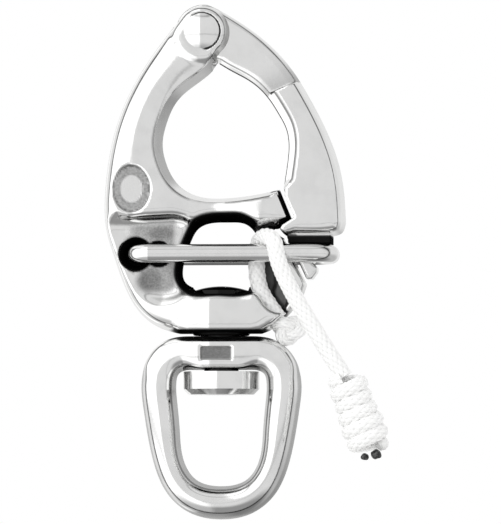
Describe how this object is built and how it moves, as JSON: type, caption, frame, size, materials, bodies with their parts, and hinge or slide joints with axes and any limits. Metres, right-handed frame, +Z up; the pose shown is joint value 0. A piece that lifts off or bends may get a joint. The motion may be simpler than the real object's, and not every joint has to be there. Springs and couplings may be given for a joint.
{
  "type": "snap shackle",
  "caption": "Trigger snap shackle for boat rigging: hinged forged jaw gate latched by a sprung rod trigger with a pull lanyard, and a large swivelling bail.",
  "frame": {"origin": "bearing crown of the jaw, where a ring or rope loop pulls, on the swivel axis and in the middle plane", "axes": "+Z up the shackle's length, from the bail to the jaw; +X from the closed back of the jaw to its gate; Y through the thickness, front face towards -Y"},
  "size_m": [0.0511, 0.0196, 0.0902],
  "materials": {
    "forged_steel": "mirror-polished forged stainless steel, matte in the forged pockets",
    "rivet_steel": "polished stainless steel rivet",
    "rod_steel": "polished stainless steel rod",
    "turned_steel": "turned and polished stainless steel",
    "white_braid": "white braided polyester cord",
    "sealed_cord": "black heat-sealed cord end"
  },
  "bodies": {
    "body": {"body": "forged_steel", "gate_rivet": "rivet_steel", "stopper_knot": "white_braid"},
    "gate": {"gate": "forged_steel"},
    "trigger": {"trigger": "rod_steel", "lanyard": "white_braid", "handle_knot": "white_braid", "sealed_ends": "sealed_cord"},
    "swivel": {"swivel_pin": "turned_steel", "swivel_collar": "turned_steel"},
    "bail": {"bail": "forged_steel"}
  },
  "joints": [
    {"name": "gate_hinge", "type": "hinge", "parent": "body", "child": "gate", "pos_m": [-0.00295, 0, 0.0065], "axis": [0, -1, 0], "range_deg": [0, 110]},
    {"name": "trigger_pull", "type": "hinge", "parent": "body", "child": "trigger", "pos_m": [-0.0127, 0, -0.0323], "axis": [0, 1, 0], "range_deg": [0, 12], "stiffness_Nm_per_rad": 0.4, "springref_deg": -28.65, "deforming": ["lanyard"]},
    {"name": "pin_swivel", "type": "hinge", "parent": "body", "child": "swivel", "pos_m": [0, 0, -0.0464], "axis": [0, 0, 1], "continuous": true},
    {"name": "bail_swivel", "type": "hinge", "parent": "swivel", "child": "bail", "pos_m": [0, 0, -0.0495], "axis": [0, 0, 1], "continuous": true}
  ]
}
